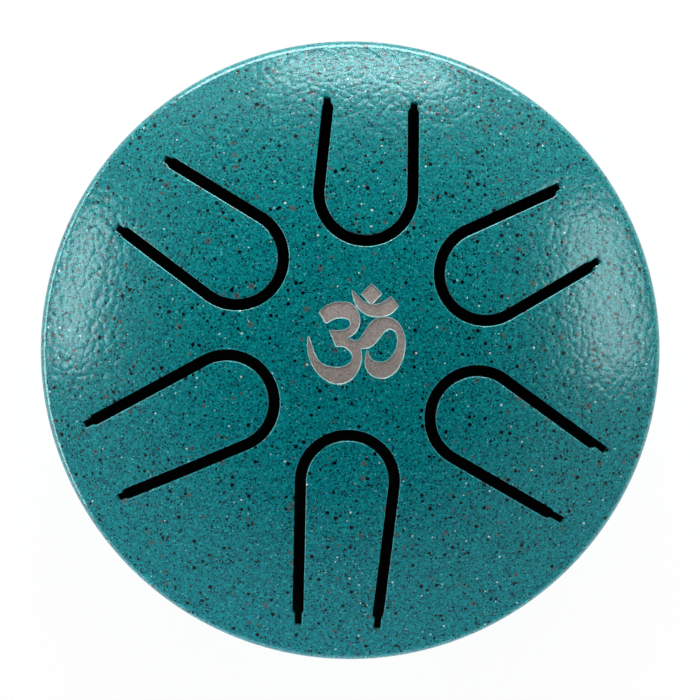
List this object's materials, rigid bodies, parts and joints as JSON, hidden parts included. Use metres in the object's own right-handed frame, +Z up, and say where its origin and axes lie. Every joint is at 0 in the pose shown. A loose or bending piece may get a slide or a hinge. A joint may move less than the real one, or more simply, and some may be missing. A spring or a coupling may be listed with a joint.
{
  "type": "tongue drum",
  "caption": "Small round steel tongue drum: two welded dishes, sprung tongues cut in the top, a sound hole below and rubber feet.",
  "frame": {"origin": "on the table, on the drum's axis, at the undersides of the feet", "axes": "+Z up along the drum's axis, +Y towards the shortest tongue, which is the top of the picture, and +X to the picture's right"},
  "size_m": [0.152, 0.152, 0.0656],
  "materials": {
    "paint": "glossy teal powder paint with a fine orange-peel texture and black, brown and white speckles",
    "bare_steel": "steel laid bare under the engraved sign, fine matt grain",
    "rubber": "matt black moulded rubber",
    "zinc_steel": "bright zinc-plated steel"
  },
  "bodies": {
    "shell": {"top_shell": "paint", "bottom_shell": "paint", "seam_weld": "paint", "foot_1": "rubber", "foot_2": "rubber", "foot_3": "rubber", "foot_screw_1": "zinc_steel", "foot_screw_2": "zinc_steel", "foot_screw_3": "zinc_steel", "foot_washer_1": "zinc_steel", "foot_washer_2": "zinc_steel", "foot_washer_3": "zinc_steel", "foot_nut_1": "zinc_steel", "foot_nut_2": "zinc_steel", "foot_nut_3": "zinc_steel"},
    "tongue_1_body": {"tongue_1": "paint"},
    "tongue_2_body": {"tongue_2": "paint"},
    "tongue_3_body": {"tongue_3": "paint"},
    "tongue_4_body": {"tongue_4": "paint"},
    "tongue_5_body": {"tongue_5": "paint"},
    "tongue_6_body": {"tongue_6": "paint"}
  },
  "joints": [
    {"name": "tongue_1_flex", "type": "hinge", "parent": "shell", "child": "tongue_1_body", "pos_m": [-0.00343, -0.06645, 0.05141], "axis": [-0.9979, 0.0645, 0], "range_deg": [-1, 1], "stiffness_Nm_per_rad": 34},
    {"name": "tongue_2_flex", "type": "hinge", "parent": "shell", "child": "tongue_2_body", "pos_m": [-0.06026, -0.02595, 0.0518], "axis": [-0.4431, 0.8965, 0], "range_deg": [-1, 1], "stiffness_Nm_per_rad": 36.2},
    {"name": "tongue_3_flex", "type": "hinge", "parent": "shell", "child": "tongue_3_body", "pos_m": [0.05619, -0.03231, 0.05214], "axis": [-0.5548, -0.832, 0], "range_deg": [-1, 1], "stiffness_Nm_per_rad": 38.5},
    {"name": "tongue_4_flex", "type": "hinge", "parent": "shell", "child": "tongue_4_body", "pos_m": [-0.05023, 0.03867, 0.05272], "axis": [0.5548, 0.832, 0], "range_deg": [-1, 1], "stiffness_Nm_per_rad": 43.5},
    {"name": "tongue_5_flex", "type": "hinge", "parent": "shell", "child": "tongue_5_body", "pos_m": [0.05486, 0.03095, 0.05288], "axis": [0.4431, -0.8965, 0], "range_deg": [-1, 1], "stiffness_Nm_per_rad": 46},
    {"name": "tongue_6_flex", "type": "hinge", "parent": "shell", "child": "tongue_6_body", "pos_m": [0.00479, 0.0607, 0.0537], "axis": [0.9979, -0.0645, 0], "range_deg": [-1, 1], "stiffness_Nm_per_rad": 51.5}
  ]
}
